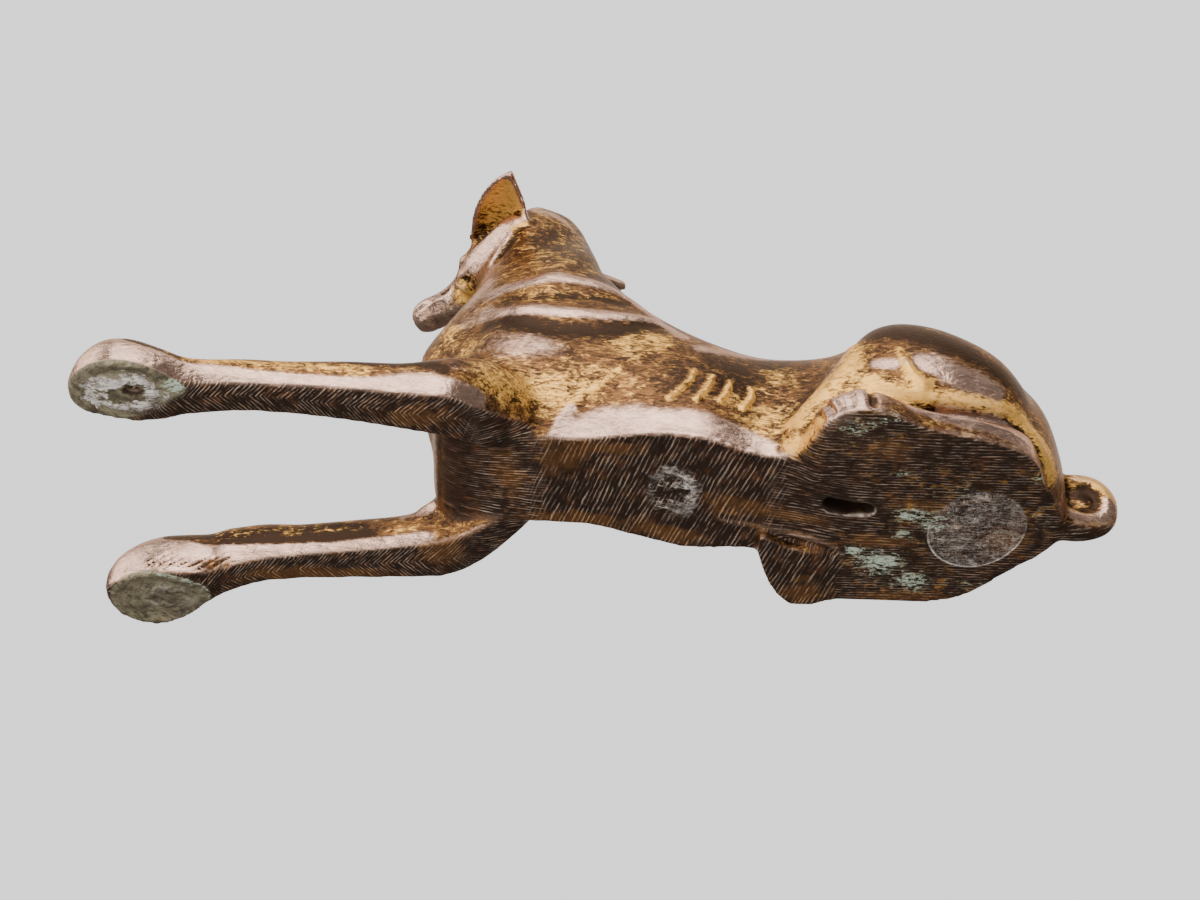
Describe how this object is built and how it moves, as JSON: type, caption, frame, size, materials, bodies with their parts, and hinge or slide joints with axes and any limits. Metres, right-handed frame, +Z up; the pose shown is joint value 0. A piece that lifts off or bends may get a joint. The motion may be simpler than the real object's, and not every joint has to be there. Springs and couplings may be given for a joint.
{
  "type": "bronze greyhound statuette",
  "caption": "Cast bronze statuette of a greyhound lying low with its forelegs stretched forward, head raised and turned to its right, for resting on a flat surface or base.",
  "frame": {"origin": "centre of the statuette's overall box, on the plane of the flat soles and haunch underside", "axes": "+X forward along the stretched forelegs, +Y to the dog's left, +Z up"},
  "size_m": [0.235, 0.0871, 0.1045],
  "materials": {
    "greyhound": null
  },
  "bodies": {
    "root": {"greyhound": "greyhound"}
  },
  "joints": []
}
